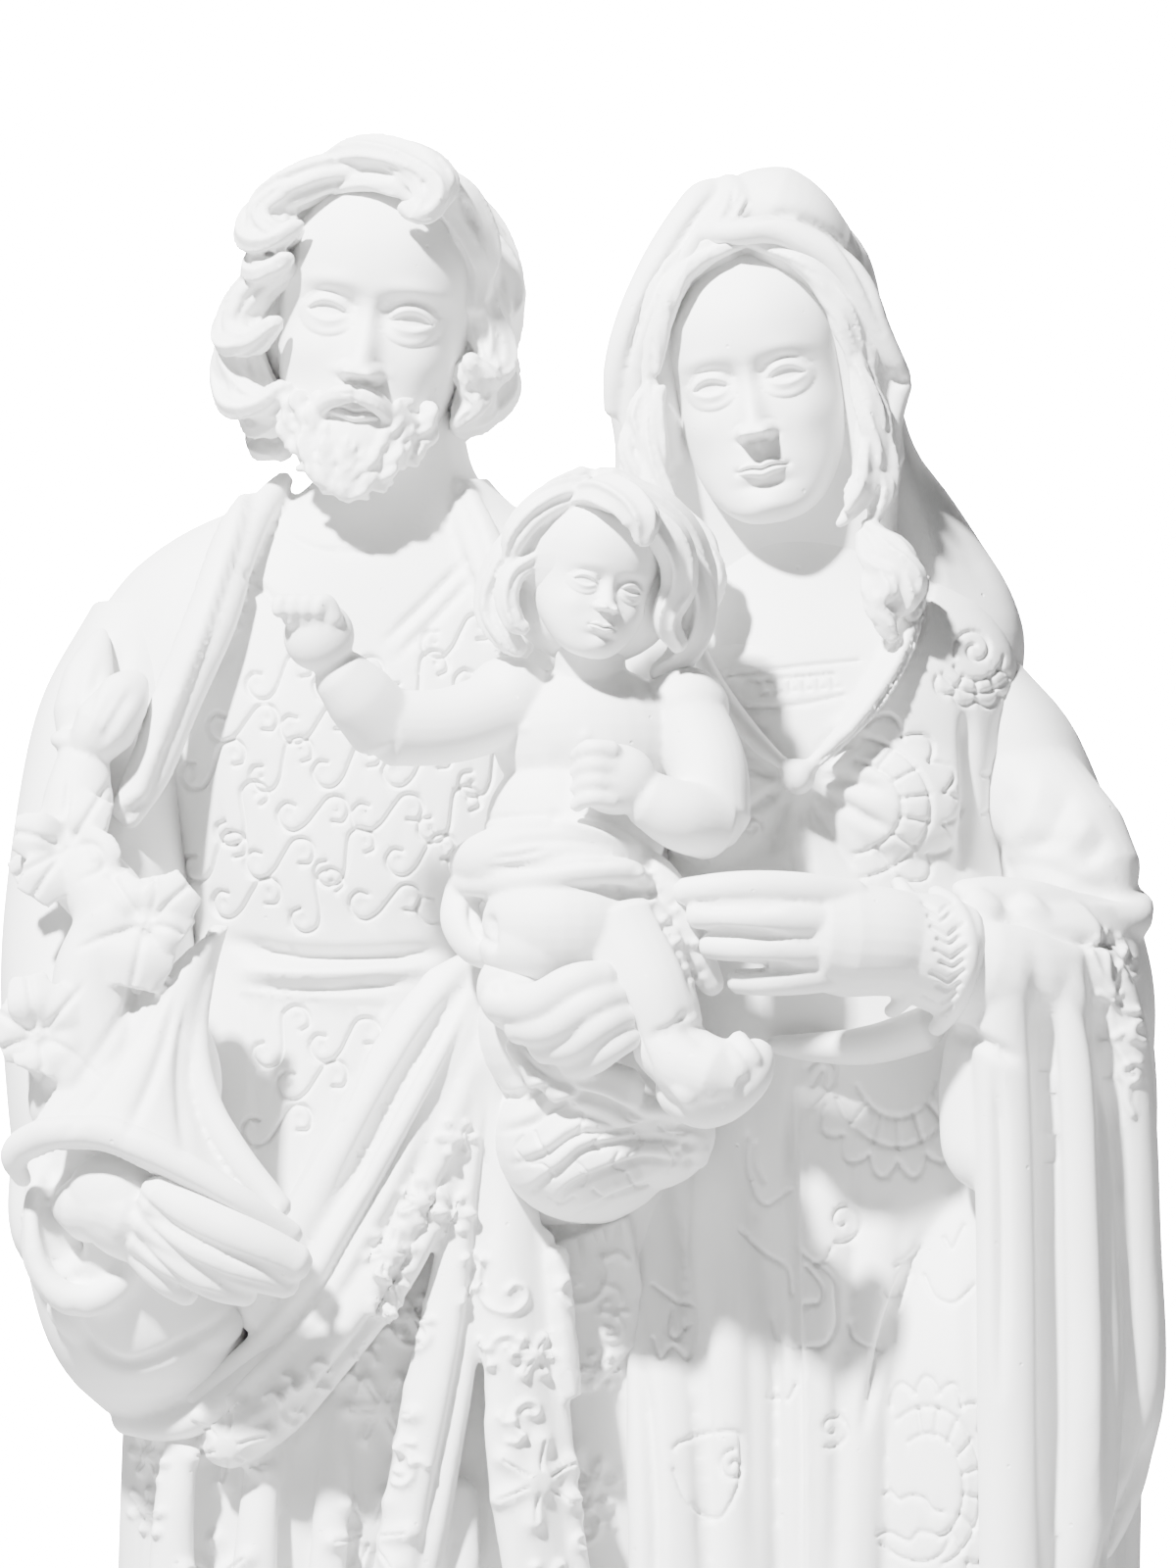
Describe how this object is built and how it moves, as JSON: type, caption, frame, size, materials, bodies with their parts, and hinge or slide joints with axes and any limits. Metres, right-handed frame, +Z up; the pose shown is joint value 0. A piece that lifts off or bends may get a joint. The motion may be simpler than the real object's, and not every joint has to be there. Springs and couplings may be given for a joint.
{
  "type": "holy family statue",
  "caption": "White plaster devotional group: a bearded man holding lilies and a veiled woman stand side by side with a child held in front, cast in one on a low base.",
  "frame": {"origin": "on the underside of the base, below the middle of the group's bounding box", "axes": "+Z up from the base to the heads, -Y the way the figures face, +X towards the woman's side"},
  "size_m": [0.2369, 0.1379, 0.4796],
  "materials": {
    "plaster": "matt, unpainted white casting plaster"
  },
  "bodies": {
    "root": {"holy_family_statue": "plaster"}
  },
  "joints": []
}
